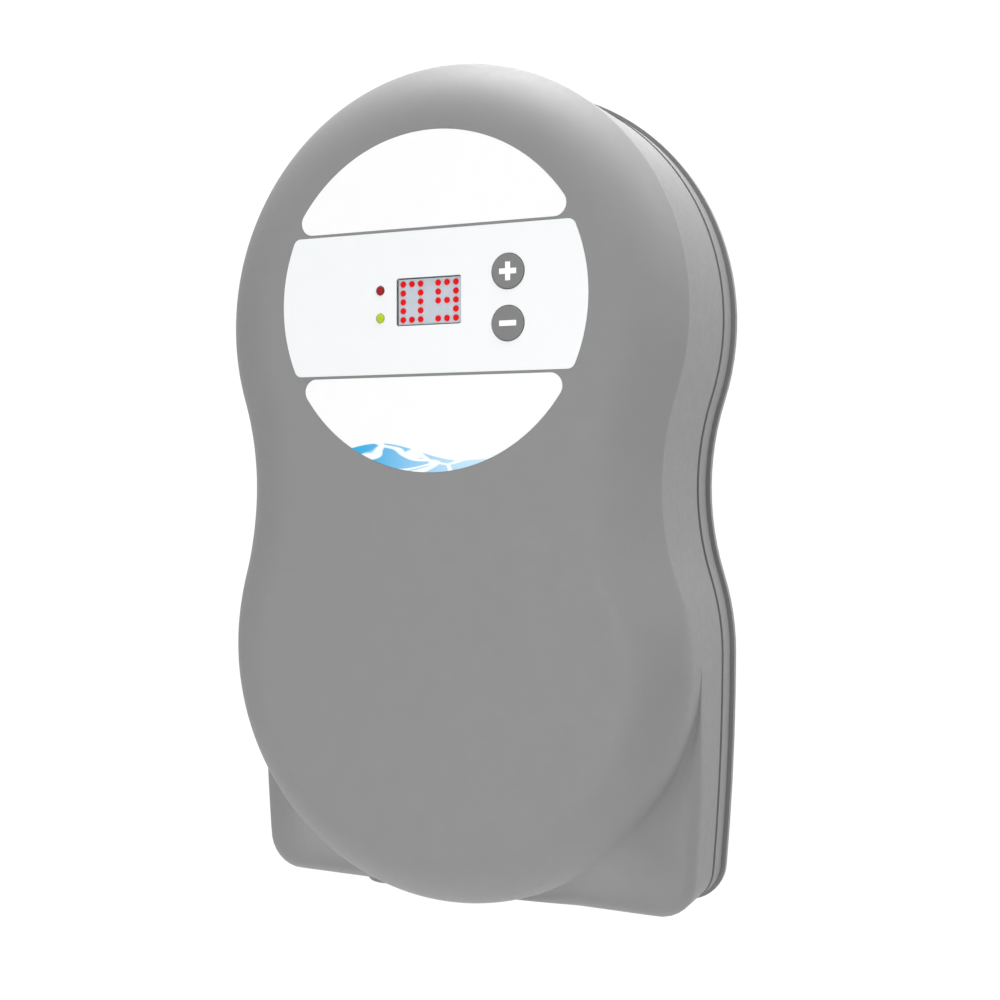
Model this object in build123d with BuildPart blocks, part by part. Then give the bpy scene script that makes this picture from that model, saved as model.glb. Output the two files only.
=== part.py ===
from build123d import *
import os
from math import asin, atan2, cos, degrees, radians, sin

# Wall-mounted control unit of a salt chlorine generator.
# Millimetres. X runs to the right, Y back into the wall and Z up. The origin is the centre of the
# four wall screws, on the wall. Heights above the wall are measured towards the viewer, along -Y.

# ---- outline of the casing, seen from the front ----
LOBE_R = 92.4  # upper and lower round of the rear panel
LOBE_Z = 60.0  # each lobe's centre lies this far above or below the waist
WAIST_HALF = 83.0
WAIST_R = (LOBE_Z**2 + WAIST_HALF**2 - LOBE_R**2) / (2 * (LOBE_R - WAIST_HALF))
WAIST_ANGLE = degrees(atan2(LOBE_Z, WAIST_HALF + WAIST_R))
SIDE_R = 950.0  # gentle bow of the lower sides
FOOT_Z = -152.4
CORNER_R = 15.0

# ---- heights above the wall ----
PANEL_BACK = 4.0
PANEL_FRONT = 7.0
FRAME_FRONT = 16.1
COVER_REAR = 16.7
FLANGE_FRONT = 41.5
FACE = 70.0

# ---- casing parts ----
FRAME_INSET = 1.4
COVER_INSET = 1.8
WALL = 3.0
SHOULDER_R = 27.6
LOWER_SHOULDER_R = 20.4  # the lower lobe turns into its side wall without a crease
SHOULDER_OUTSET = 3.6  # the shoulder's arc would end this far outside the side wall
FIT = 0.15  # gap all round a piece that sits in a pocket
SCREW_INSET = 8.4
FOOT_SCREW_INSET = 14.0
CROWN_SCREW_ANGLE = 50.0
BOSS_R = 4.6
COVER_SCREW_R = 1.5
SCREW_CLEARANCE_R = 1.8
COVER_SCREW_HEAD_R = 3.2
COVER_SCREW_TIP = 30.0
BOSS_TIP = 34.0

HEAD_DEPTH = 2.0
SCREW_FIT = 0.1
GASKET_INSET = 0.6
GASKET_WIDTH = 2.0
PARTING_CHAMFER = 0.6
PANEL_EDGE_R = 0.8
BASE = (Align.CENTER, Align.CENTER, Align.MIN)
TOP = (Align.CENTER, Align.CENTER, Align.MAX)

# ---- front labels and controls ----
LABEL_Z = 65.5
LABEL_R = 60.0
SLICE_WIDTH = 4 * LABEL_R  # spans the label with room to spare
TOP_LABEL_R = 62.6
TOP_LABEL_CROWN = 59.6
UPPER_SPLIT = 25.4
LOWER_SPLIT = -25.8
SPLIT_GAP = 1.0
LABEL_THICK = 0.5
OVERLAY_CORNER_R = 3.0
LABEL_CORNER_R = 4.5
KEY_X = 30.6
KEY_UP = 8.6
KEY_DOWN = -9.1
KEY_R = 6.0
KEY_GAP = 0.25
KEY_PROUD = 0.3
KEY_TRAVEL = 0.6
KEY_FLANGE_R = 7.4
KEY_FLANGE_THICK = 1.0
KEY_FLANGE_GAP = 0.4
KEY_REST_GAP = 0.05
KEY_EDGE_R = 0.25
MARK_THICK = 0.3
MARK_SPAN = 6.4
MARK_ARM = 1.9
WINDOW_SIZE = (25.1, 16.5)
WINDOW_CORNER_R = 0.7
WINDOW_THICK = 0.5
LED_X = -19.3
LED_RED_UP = 4.5
LED_GREEN_UP = -5.3
LED_R = 1.6
LED_PROUD = 0.5
LED_DOME_R = 0.8
DOT_R = 1.1
DOT_PITCH_X = 3.47
DOT_PITCH_Z = 3.12
DIGIT_ZERO = ("111", "101", "101", "101", "111")
DIGIT_NINE = ("111", "101", "111", "001", "111")

# ---- boards ----
BOARD_THICK = 1.6
DISPLAY_BOARD_BACK = 58.0
DISPLAY_BOARD_SIZE = (86.0, 42.0)
DISPLAY_SCREWS = (78.0, 34.0)
BOARD_FRONT = DISPLAY_BOARD_BACK + BOARD_THICK
MODULE_SIZE = (24.6, 16.0)
MODULE_FRONT = 69.2
DOT_THICK = 0.2
SWITCH_SIDE = 6.2
SWITCH_THICK = 1.2
PLUNGER_R = 1.75
PLUNGER_FRONT = 61.3
CHIP_SIZE = (12.0, 12.0, 1.6)
CHIP_X = -20.0
HEADER_SIZE = (20.0, 5.0, 6.0)
DISPLAY_HEADER_Z = 52.5
POWER_HEADER_Z = 62.0
RIBBON_WIDTH = 17.0
RIBBON_THICK = 1.0
POWER_BOARD_BACK = 13.0
POWER_BOARD_FRONT = POWER_BOARD_BACK + BOARD_THICK
POWER_BOARD_SIZE = (112.0, 76.0)
POWER_BOARD_Z = 76.0
POWER_SCREWS = (102.0, 66.0)

RELAY_SIZE = (29.0, 12.7, 16.0)
RELAY_PLACES = ((16.0, 102.0), (16.0, 85.0))
CAPACITOR_R = 9.0
CAPACITOR_LENGTH = 30.0
CAPACITOR_PLACES = ((44.0, 90.0), (44.0, 69.0))
RECTIFIER_PLACE = (-28.0, 92.0)
RECTIFIER_SIZE = (28.0, 28.0, 10.0)
SINK_SIZE = (44.0, 32.0, 4.0)
FIN_COUNT = 9
FIN_HEIGHT = 12.0
FIN_THICK = 1.6
TERMINAL_SIZE = (54.0, 12.0, 14.0)
TERMINAL_Z = 46.0
TERMINAL_WAYS = 9
LEAD_R = 1.2
LEAD_COUNT = 4
LEAD_PITCH = 6.0
POST_R = 3.0
BOARD_SCREW_R = 1.25
BOARD_HEAD_R = 2.6
BOARD_HEAD_THICK = 1.6
STANDOFF_R = 3.0
BOARD_SCREW_DEPTH = 6.0

BOARD_CORNER_R = 2.0
RIBBON_BEND = 8.0
STANDOFF_SCREW_LENGTH = 5.5
POWER_SCREW_LENGTH = 4.5
RELAY_EDGE_R = 0.8
TERMINAL_SCREW_R = 1.9
TERMINAL_SCREW_DEPTH = 2.0
LEAD_ROOT_FRONT = 28.0
LEAD_END_FRONT = 21.0
LEAD_RUN = 12.0
LEAD_BEND_R = 8.0

# ---- transformer ----
CORE_R = 44.0
CORE_HOLE_R = 17.0
CORE_Z = -46.0
CORE_BACK = 9.0
CORE_FRONT = 47.0
CORE_EDGE_R = 9.0
PAD_R = 33.75
WASHER_THICK = 1.5
WASHER_R = 31.0
BOLT_TIP = 56.0
WASHER_DISH = 3.0
NUT_THICK = 6.5
BOLT_R = 4.0
BOLT_HEAD_R = 7.5

# ---- connector plate and its fittings, under the unit ----
PLATE_HALF = 56.0
PLATE_UNDER = -142.0
PLATE_THICK = 2.5
PLATE_FRONT = 36.0
PLATE_SCREW_X = 30.0
PLATE_SCREW_Z = -130.0
FITTING_Y = -21.5
MAINS_X = -42.0
CELL_X = -19.0
SWITCH_X = 4.0
FUSE_X = 27.0
SOCKET_X = 45.0
CABLE_R = 4.0
GLAND_R = 8.0
GLAND_HEX_R = 10.9
GLAND_HEX_THICK = 4.0
GLAND_NECK_R = 6.6
GLAND_NECK = 5.0
GLAND_TOP = -132.0
DOME_R = 9.6
DOME_END = -155.0
DOME_FLOOR = 2.0
LOCKNUT_THICK = 4.0
SEAL_THICK = 1.7
SWITCH_BEZEL = (23.0, 15.0)
SWITCH_BODY = (20.6, 12.6)
SWITCH_CAVITY = (18.2, 10.2)
BEZEL_THICK = 2.0
SWITCH_TOP = -124.0
SWITCH_CAVITY_TOP = -131.0
PIVOT_Z = -139.5
PIVOT_R = 1.5
PIVOT_CLEARANCE = 0.05
ROCKER_TILT = 8.0
ROCKER_WIDTH = 9.6
BARREL_R = 6.0
BARREL_FLANGE_R = 7.5
FUSE_TOP = -112.0
FUSE_BORE_R = 4.6
FUSE_STEM_R = 4.3
FUSE_CAP_R = 6.4
FUSE_CAP_END = -149.5
FUSE_R = 2.6
FUSE_LENGTH = 20.0
SOCKET_END = -150.0
SOCKET_TOP = -128.0
SOCKET_DEPTH = 14.0
BARREL_NUT_R = 8.4
BARREL_NUT_THICK = 3.0
PLATE_TAB = 16.0
DOME_EDGE_R = 2.0
MOUTH_EXTRA = 0.6
FLUTE_COUNT = 12
FLUTE_R = 0.9
CAP_FLUTE_R = 0.45
COIN_SLOT = (8.0, 1.2, 1.5)
ROCKER_HALF = 8.2
ROCKER_WAIST = 3.8
ROCKER_END = 5.2
ROCKER_BACK = 2.0

# ---- wall plate ----
HANGER_SIZE = (92.0, 136.0)
HANGER_THICK = 2.0
HANGER_CORNER_R = 6.0
WALL_SCREWS = (60.0, 110.0)
WALL_SCREW_R = 2.75
HOOK_X = 37.0
HOOK_Z = 54.0
HOOK_WIDTH = 12.0
HOOK_THICK = 1.5
HOOK_LIP = 4.0
HOOK_GAP = 0.3
HOOK_SIDE_GAP = 0.3
BUMPER_PLACES = ((-62.0, -120.0), (62.0, -120.0))
BUMPER_R = 6.0
WINDOW_DROP = 8.0


def at(height):
    """Plane parallel to the wall, at a height above it, facing the viewer."""
    return Plane.XZ.offset(height)


def level(z):
    """Horizontal plane at a height along Z."""
    return Plane.XY.offset(z)


def save(piece, name):
    """Labels a finished piece and writes its STEP file."""
    piece.part.label = name
    export_step(piece.part, f"parts/{name}.step")


def casing_outline(inset, foot=True):
    """The casing's outline, filled, drawn inset from the rear panel's edge.

    With a foot the lower lobe runs on into square corners. Without one it is a full round.
    """
    lobe_r = LOBE_R - inset
    with BuildSketch() as outline:
        with BuildLine():
            CenterArc((0, LOBE_Z), lobe_r, 90, -90 - WAIST_ANGLE)
            CenterArc((WAIST_HALF + WAIST_R, 0), WAIST_R + inset, 180 - WAIST_ANGLE, 2 * WAIST_ANGLE)
            if foot:
                CenterArc((0, -LOBE_Z), lobe_r, WAIST_ANGLE, -WAIST_ANGLE)
                drop = -LOBE_Z - FOOT_Z - inset
                side_r = SIDE_R - inset
                side = CenterArc((LOBE_R - SIDE_R, -LOBE_Z), side_r, 0, -degrees(asin(drop / side_r)))
                Line(side @ 1, (0, FOOT_Z + inset))
            else:
                CenterArc((0, -LOBE_Z), lobe_r, WAIST_ANGLE, -WAIST_ANGLE - 90)
            mirror(about=Plane.YZ)
        make_face()
        if foot:
            corners = outline.vertices().group_by(Axis.Y)[0].sort_by(Axis.X)
            fillet((corners[0], corners[-1]), CORNER_R - inset)
    return outline.sketch


def lower_lobe(inset, front, shoulder_r):
    """The round body of the lower lobe, with a full quarter-round shoulder."""
    with BuildPart() as lobe:
        with BuildSketch(at(COVER_REAR)):
            with Locations((0, -LOBE_Z)):
                Circle(LOBE_R - inset)
        extrude(amount=front - COVER_REAR)
        fillet(lobe.faces().sort_by(Axis.Y)[0].edges(), shoulder_r)
    return lobe.part


def casing_volume(inset, front, shoulder_r, lower_shoulder_r, flange_front):
    """Solid bounded by the cover's outer surface, or by its inner one at a larger inset."""
    lobe = lower_lobe(inset, front, lower_shoulder_r)
    with BuildPart() as volume:
        with BuildSketch(at(COVER_REAR)):
            add(casing_outline(inset - SHOULDER_OUTSET, foot=False))
        extrude(amount=front - COVER_REAR)
        fillet(volume.faces().sort_by(Axis.Y)[0].edges(), shoulder_r)
        with BuildSketch(at(COVER_REAR)):
            add(casing_outline(inset, foot=False))
        extrude(amount=front - COVER_REAR, mode=Mode.INTERSECT)
        with BuildSketch(at(COVER_REAR)):
            add(casing_outline(inset))
        extrude(amount=flange_front - COVER_REAR)
        add(lobe)
    return volume.part


def cover_screw_points():
    """The six screw positions round the casing's edge."""
    crown_angle = radians(CROWN_SCREW_ANGLE)
    crown_r = LOBE_R - SCREW_INSET
    crown = (crown_r * cos(crown_angle), LOBE_Z + crown_r * sin(crown_angle))
    waist = (WAIST_HALF - SCREW_INSET, 0)
    foot = (LOBE_R - FOOT_SCREW_INSET, FOOT_Z + SCREW_INSET)
    return [(side * x, z) for x, z in (crown, waist, foot) for side in (-1, 1)]


def label_shape(low, high, crown_r, crown_z, corner_r, grow):
    """A slice of the round label, between two heights measured from its centre, grown all round."""
    with BuildSketch() as shape:
        with Locations((0, LABEL_Z + crown_z - crown_r)):
            Circle(crown_r + grow)
        with Locations((0, LABEL_Z + (low + high) / 2)):
            Rectangle(SLICE_WIDTH, high - low + 2 * grow, mode=Mode.INTERSECT)
        fillet(shape.vertices(), corner_r + grow)
    return shape.sketch


def top_label_shape(grow=0.0):
    """The label's upper slice, whose crown is a little flatter than the round."""
    low = UPPER_SPLIT + SPLIT_GAP / 2
    return label_shape(low, LABEL_R, TOP_LABEL_R, TOP_LABEL_CROWN, LABEL_CORNER_R, grow)


def overlay_shape(grow=0.0):
    """The label's middle slice, which carries the controls."""
    low = LOWER_SPLIT + SPLIT_GAP / 2
    high = UPPER_SPLIT - SPLIT_GAP / 2
    return label_shape(low, high, LABEL_R, LABEL_R, OVERLAY_CORNER_R, grow)


def bottom_label_shape(grow=0.0):
    """The label's lower slice."""
    high = LOWER_SPLIT - SPLIT_GAP / 2
    return label_shape(-LABEL_R, high, LABEL_R, LABEL_R, LABEL_CORNER_R, grow)


def control_openings():
    """The openings for the keys, the lamps and the display."""
    with BuildSketch() as openings:
        with Locations((KEY_X, LABEL_Z + KEY_UP), (KEY_X, LABEL_Z + KEY_DOWN)):
            Circle(KEY_R + KEY_GAP)
        with Locations((LED_X, LABEL_Z + LED_RED_UP), (LED_X, LABEL_Z + LED_GREEN_UP)):
            Circle(LED_R + FIT)
        with Locations((0, LABEL_Z)):
            RectangleRounded(*(side + 2 * FIT for side in WINDOW_SIZE), WINDOW_CORNER_R)
    return openings.sketch


def countersunk_screw(head_r, shank_r, length):
    """Adds a countersunk screw at each location in hand, its head flush with the location's plane."""
    Cone(head_r, shank_r, HEAD_DEPTH, align=BASE)
    Cylinder(shank_r, length, align=BASE)


def rectangle_points(size, centre):
    """The corners of an upright rectangle."""
    return [
        (centre[0] + side * size[0] / 2, centre[1] + end * size[1] / 2)
        for side in (-1, 1)
        for end in (-1, 1)
    ]


os.makedirs("parts", exist_ok=True)
SCREW_POINTS = cover_screw_points()
POWER_SCREW_POINTS = rectangle_points(POWER_SCREWS, (0, POWER_BOARD_Z))
PLATE_SCREW_POINTS = [(-PLATE_SCREW_X, PLATE_SCREW_Z), (PLATE_SCREW_X, PLATE_SCREW_Z)]
OUTER = casing_volume(COVER_INSET, FACE, SHOULDER_R, LOWER_SHOULDER_R, FLANGE_FRONT)
INNER = casing_volume(
    COVER_INSET + WALL,
    FACE - WALL,
    SHOULDER_R - WALL,
    LOWER_SHOULDER_R - WALL,
    FLANGE_FRONT - WALL,
)


# ---- front cover ----
with BuildPart() as front_cover:
    add(OUTER)
    add(INNER, mode=Mode.SUBTRACT)
    # screw bosses, joined to the side walls
    with BuildSketch(at(COVER_REAR)):
        with Locations(*SCREW_POINTS):
            Circle(BOSS_R)
    extrude(amount=BOSS_TIP - COVER_REAR)
    # posts that carry the display board
    with BuildSketch(at(DISPLAY_BOARD_BACK + BOARD_THICK)):
        with Locations((0, LABEL_Z)):
            with GridLocations(*DISPLAY_SCREWS, 2, 2):
                Circle(POST_R)
    extrude(amount=FACE - WALL - DISPLAY_BOARD_BACK - BOARD_THICK)
    add(OUTER, mode=Mode.INTERSECT)
    with BuildSketch(at(DISPLAY_BOARD_BACK + BOARD_THICK)):
        with Locations((0, LABEL_Z)):
            with GridLocations(*DISPLAY_SCREWS, 2, 2):
                Circle(BOARD_SCREW_R + SCREW_FIT)
    extrude(amount=BOARD_SCREW_DEPTH, mode=Mode.SUBTRACT)
    with BuildSketch(at(COVER_REAR)):
        with Locations(*SCREW_POINTS):
            Circle(COVER_SCREW_R + SCREW_FIT)
    extrude(amount=COVER_SCREW_TIP - COVER_REAR, mode=Mode.SUBTRACT)
    # pockets for the three labels
    with BuildSketch(at(FACE)):
        add(top_label_shape(FIT))
        add(overlay_shape(FIT))
        add(bottom_label_shape(FIT))
    extrude(amount=-LABEL_THICK, mode=Mode.SUBTRACT)
    # openings for the keys, lamps and display
    with BuildSketch(at(FACE)):
        add(control_openings())
    extrude(amount=-WALL, mode=Mode.SUBTRACT)
    # notch in the bottom wall for the connector plate
    with BuildSketch(at(COVER_REAR)):
        with Locations((0, FOOT_Z)):
            Rectangle(2 * (PLATE_HALF + FIT), 2 * (PLATE_UNDER + PLATE_THICK + FIT - FOOT_Z))
    extrude(amount=PLATE_FRONT + FIT - COVER_REAR, mode=Mode.SUBTRACT)
save(front_cover, "front_cover")

# ---- gasket between the cover and the middle frame ----
with BuildPart() as cover_gasket:
    with BuildSketch(at(FRAME_FRONT)):
        add(casing_outline(COVER_INSET + GASKET_INSET))
        add(casing_outline(COVER_INSET + GASKET_INSET + GASKET_WIDTH), mode=Mode.SUBTRACT)
        with Locations((0, FOOT_Z)):
            Rectangle(2 * (PLATE_HALF + FIT), 4 * WALL, mode=Mode.SUBTRACT)
    extrude(amount=COVER_REAR - FRAME_FRONT)
save(cover_gasket, "cover_gasket")

# ---- middle frame: the band between the cover and the rear panel ----
with BuildPart() as middle_frame:
    with BuildSketch(at(PANEL_FRONT)):
        add(casing_outline(FRAME_INSET))
    extrude(amount=FRAME_FRONT - PANEL_FRONT)
    rear_edges = middle_frame.faces().sort_by(Axis.Y)[-1].edges()
    chamfer(rear_edges, PARTING_CHAMFER)
    with BuildSketch(at(PANEL_FRONT)):
        add(casing_outline(FRAME_INSET + WALL))
    extrude(amount=FRAME_FRONT - PANEL_FRONT, mode=Mode.SUBTRACT)
    with BuildSketch(at(PANEL_FRONT + PARTING_CHAMFER)):
        with Locations(*SCREW_POINTS):
            Circle(BOSS_R)
    extrude(amount=FRAME_FRONT - PANEL_FRONT - PARTING_CHAMFER)
    with BuildSketch(at(PANEL_FRONT)):
        with Locations(*SCREW_POINTS):
            Circle(SCREW_CLEARANCE_R)
    extrude(amount=FRAME_FRONT - PANEL_FRONT, mode=Mode.SUBTRACT)
    with BuildSketch(at(PANEL_FRONT)):
        with Locations((0, FOOT_Z)):
            Rectangle(2 * (PLATE_HALF + FIT), 4 * WALL)
    extrude(amount=FRAME_FRONT - PANEL_FRONT, mode=Mode.SUBTRACT)
save(middle_frame, "middle_frame")

# ---- rear panel, with the windows that hang on the wall plate's hooks ----
with BuildPart() as rear_panel:
    with BuildSketch(at(PANEL_BACK)):
        add(casing_outline(0.0))
    extrude(amount=PANEL_FRONT - PANEL_BACK)
    fillet(rear_panel.faces().sort_by(Axis.Y)[-1].edges(), PANEL_EDGE_R)
    with BuildSketch(at(PANEL_BACK)):
        with Locations(*SCREW_POINTS):
            Circle(SCREW_CLEARANCE_R)
        with Locations(*POWER_SCREW_POINTS, *PLATE_SCREW_POINTS):
            Circle(BOARD_SCREW_R + SCREW_FIT)
        with Locations((0, CORE_Z)):
            Circle(BOLT_R + FIT)
        with Locations((-HOOK_X, HOOK_Z), (HOOK_X, HOOK_Z)):
            Rectangle(HOOK_WIDTH + 2 * HOOK_SIDE_GAP, WINDOW_DROP, align=(Align.CENTER, Align.MAX))
    extrude(amount=PANEL_FRONT - PANEL_BACK, mode=Mode.SUBTRACT)
    # seats for the screws' and the transformer bolt's heads
    with Locations(at(PANEL_BACK)):
        with Locations(*SCREW_POINTS):
            Cone(COVER_SCREW_HEAD_R, SCREW_CLEARANCE_R, HEAD_DEPTH, align=BASE, mode=Mode.SUBTRACT)
        with Locations(*POWER_SCREW_POINTS, *PLATE_SCREW_POINTS):
            Cone(BOARD_HEAD_R, BOARD_SCREW_R + SCREW_FIT, HEAD_DEPTH, align=BASE, mode=Mode.SUBTRACT)
        with Locations((0, CORE_Z)):
            Cone(BOLT_HEAD_R, BOLT_R + FIT, HEAD_DEPTH, align=BASE, mode=Mode.SUBTRACT)
save(rear_panel, "rear_panel")

with BuildPart() as cover_screws:
    with Locations(at(PANEL_BACK)):
        with Locations(*SCREW_POINTS):
            countersunk_screw(COVER_SCREW_HEAD_R - FIT, COVER_SCREW_R, COVER_SCREW_TIP - PANEL_BACK)
save(cover_screws, "cover_screws")

# ---- labels ----
with BuildPart() as top_label:
    with BuildSketch(at(FACE)):
        add(top_label_shape())
    extrude(amount=-LABEL_THICK)
save(top_label, "top_label")

with BuildPart() as keypad_overlay:
    with BuildSketch(at(FACE)):
        add(overlay_shape())
        add(control_openings(), mode=Mode.SUBTRACT)
    extrude(amount=-LABEL_THICK)
save(keypad_overlay, "keypad_overlay")

with BuildPart() as bottom_label:
    with BuildSketch(at(FACE)):
        add(bottom_label_shape())
    extrude(amount=-LABEL_THICK)
save(bottom_label, "bottom_label")

# ---- keys: a grey cap with a white sign let into it, a flange behind the wall and a stem ----
def key_cap(name, up, sign):
    """One key. The stem stops a full stroke short of the switch's plunger."""
    with BuildPart() as key:
        with BuildSketch(at(PLUNGER_FRONT + KEY_TRAVEL + KEY_REST_GAP)):
            with Locations((KEY_X, LABEL_Z + up)):
                Circle(PLUNGER_R)
        extrude(amount=FACE + KEY_PROUD - LABEL_THICK - PLUNGER_FRONT - KEY_TRAVEL - KEY_REST_GAP)
        with BuildSketch(at(FACE - WALL - KEY_FLANGE_GAP - KEY_FLANGE_THICK)):
            with Locations((KEY_X, LABEL_Z + up)):
                Circle(KEY_FLANGE_R)
        extrude(amount=KEY_FLANGE_THICK)
        with BuildSketch(at(FACE - WALL - KEY_FLANGE_GAP)):
            with Locations((KEY_X, LABEL_Z + up)):
                Circle(KEY_R)
        extrude(amount=WALL + KEY_FLANGE_GAP + KEY_PROUD)
        fillet(key.faces().sort_by(Axis.Y)[0].edges(), KEY_EDGE_R)
        with BuildSketch(at(FACE + KEY_PROUD)):
            add(sign)
        extrude(amount=-MARK_THICK, mode=Mode.SUBTRACT)
    save(key, f"{name}_key")


def key_mark(name, sign):
    """The sign let into a key, flush with its top."""
    with BuildPart() as mark:
        with BuildSketch(at(FACE + KEY_PROUD)):
            add(sign)
        extrude(amount=-MARK_THICK)
    save(mark, f"{name}_mark")


def bars(up, *sizes):
    """Crossed bars centred on a key."""
    with BuildSketch() as sign:
        with Locations((KEY_X, LABEL_Z + up)):
            for size in sizes:
                Rectangle(*size)
    return sign.sketch


ACROSS = (MARK_SPAN, MARK_ARM)
UPRIGHT = (MARK_ARM, MARK_SPAN)
PLUS_SIGN = bars(KEY_UP, ACROSS, UPRIGHT)
MINUS_SIGN = bars(KEY_DOWN, ACROSS)
key_cap("plus", KEY_UP, PLUS_SIGN)
key_mark("plus", PLUS_SIGN)
key_cap("minus", KEY_DOWN, MINUS_SIGN)
key_mark("minus", MINUS_SIGN)

# ---- display ----
with BuildPart() as display_window:
    with BuildSketch(at(FACE)):
        with Locations((0, LABEL_Z)):
            RectangleRounded(*WINDOW_SIZE, WINDOW_CORNER_R)
    extrude(amount=-WINDOW_THICK)
save(display_window, "display_window")

with BuildPart() as display_module:
    with BuildSketch(at(BOARD_FRONT)):
        with Locations((0, LABEL_Z)):
            Rectangle(*MODULE_SIZE)
    extrude(amount=MODULE_FRONT - BOARD_FRONT)
save(display_module, "display_module")


def lit_dots(rows, middle_x):
    """Centres of a digit's lit dots, its rows listed from the top."""
    return [
        (middle_x + DOT_PITCH_X * (column - 1), LABEL_Z + DOT_PITCH_Z * (2 - row))
        for row, pattern in enumerate(rows)
        for column, state in enumerate(pattern)
        if state == "1"
    ]


with BuildPart() as display_dots:
    with BuildSketch(at(MODULE_FRONT)):
        with Locations(*lit_dots(DIGIT_ZERO, -2 * DOT_PITCH_X), *lit_dots(DIGIT_NINE, 2 * DOT_PITCH_X)):
            Circle(DOT_R)
    extrude(amount=DOT_THICK)
save(display_dots, "display_dots")

for name, up in (("red_lamp", LED_RED_UP), ("green_lamp", LED_GREEN_UP)):
    with BuildPart() as lamp:
        with BuildSketch(at(BOARD_FRONT)):
            with Locations((LED_X, LABEL_Z + up)):
                Circle(LED_R)
        extrude(amount=FACE + LED_PROUD - BOARD_FRONT)
        fillet(lamp.faces().sort_by(Axis.Y)[0].edges(), LED_DOME_R)
    save(lamp, name)

# ---- display board, screwed to the cover's posts ----
DISPLAY_SCREW_POINTS = rectangle_points(DISPLAY_SCREWS, (0, LABEL_Z))

with BuildPart() as display_board:
    with BuildSketch(at(DISPLAY_BOARD_BACK)):
        with Locations((0, LABEL_Z)):
            RectangleRounded(*DISPLAY_BOARD_SIZE, BOARD_CORNER_R)
        with Locations(*DISPLAY_SCREW_POINTS):
            Circle(BOARD_SCREW_R + SCREW_FIT, mode=Mode.SUBTRACT)
    extrude(amount=BOARD_THICK)
save(display_board, "display_board")

with BuildPart() as display_board_screws:
    with Locations(at(DISPLAY_BOARD_BACK)):
        with Locations(*DISPLAY_SCREW_POINTS):
            Cylinder(BOARD_HEAD_R, BOARD_HEAD_THICK, align=TOP)
            Cylinder(BOARD_SCREW_R, BOARD_SCREW_DEPTH, align=BASE)
save(display_board_screws, "display_board_screws")

with BuildPart() as key_switches:
    with BuildSketch(at(BOARD_FRONT)):
        with Locations((KEY_X, LABEL_Z + KEY_UP), (KEY_X, LABEL_Z + KEY_DOWN)):
            Rectangle(SWITCH_SIDE, SWITCH_SIDE)
    extrude(amount=SWITCH_THICK)
    with BuildSketch(at(BOARD_FRONT)):
        with Locations((KEY_X, LABEL_Z + KEY_UP), (KEY_X, LABEL_Z + KEY_DOWN)):
            Circle(PLUNGER_R)
    extrude(amount=PLUNGER_FRONT - BOARD_FRONT)
save(key_switches, "key_switches")

with BuildPart() as control_chip:
    with Locations(at(DISPLAY_BOARD_BACK)):
        with Locations((CHIP_X, LABEL_Z)):
            Box(*CHIP_SIZE, align=TOP)
save(control_chip, "control_chip")

with BuildPart() as board_headers:
    with Locations(at(DISPLAY_BOARD_BACK)):
        with Locations((0, DISPLAY_HEADER_Z)):
            Box(*HEADER_SIZE, align=TOP)
    with Locations(at(POWER_BOARD_FRONT)):
        with Locations((0, POWER_HEADER_Z)):
            Box(*HEADER_SIZE, align=BASE)
save(board_headers, "board_headers")

with BuildPart() as ribbon_cable:
    ribbon_start = (0, HEADER_SIZE[2] - DISPLAY_BOARD_BACK, DISPLAY_HEADER_Z)
    ribbon_end = (0, -POWER_BOARD_FRONT - HEADER_SIZE[2], POWER_HEADER_Z)
    first_bend = (0, ribbon_start[1] + RIBBON_BEND, DISPLAY_HEADER_Z)
    last_bend = (0, ribbon_end[1] - RIBBON_BEND, POWER_HEADER_Z)
    with BuildLine():
        ribbon_path = FilletPolyline(ribbon_start, first_bend, last_bend, ribbon_end, radius=RIBBON_BEND / 2)
    with BuildSketch(Plane(ribbon_start, x_dir=(1, 0, 0), z_dir=(0, 1, 0))):
        Rectangle(RIBBON_WIDTH, RIBBON_THICK)
    sweep()
save(ribbon_cable, "ribbon_cable")

# ---- power board, on standoffs from the rear panel ----
with BuildPart() as board_standoffs:
    with BuildSketch(at(PANEL_FRONT)):
        with Locations(*POWER_SCREW_POINTS):
            RegularPolygon(STANDOFF_R, 6)
            Circle(BOARD_SCREW_R + SCREW_FIT, mode=Mode.SUBTRACT)
    extrude(amount=POWER_BOARD_BACK - PANEL_FRONT)
save(board_standoffs, "board_standoffs")

with BuildPart() as standoff_screws:
    with Locations(at(PANEL_BACK)):
        with Locations(*POWER_SCREW_POINTS):
            countersunk_screw(BOARD_HEAD_R - SCREW_FIT, BOARD_SCREW_R, STANDOFF_SCREW_LENGTH)
save(standoff_screws, "standoff_screws")

with BuildPart() as power_board:
    with BuildSketch(at(POWER_BOARD_BACK)):
        with Locations((0, POWER_BOARD_Z)):
            RectangleRounded(*POWER_BOARD_SIZE, BOARD_CORNER_R)
        with Locations(*POWER_SCREW_POINTS):
            Circle(BOARD_SCREW_R + SCREW_FIT, mode=Mode.SUBTRACT)
    extrude(amount=BOARD_THICK)
save(power_board, "power_board")

with BuildPart() as power_board_screws:
    with Locations(at(POWER_BOARD_FRONT)):
        with Locations(*POWER_SCREW_POINTS):
            Cylinder(BOARD_HEAD_R, BOARD_HEAD_THICK, align=BASE)
            Cylinder(BOARD_SCREW_R, POWER_SCREW_LENGTH, align=TOP)
save(power_board_screws, "power_board_screws")

with BuildPart() as relays:
    with Locations(at(POWER_BOARD_FRONT)):
        with Locations(*RELAY_PLACES):
            Box(*RELAY_SIZE, align=BASE)
    fillet(relays.edges().filter_by(Axis.Y), RELAY_EDGE_R)
save(relays, "relays")

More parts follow.
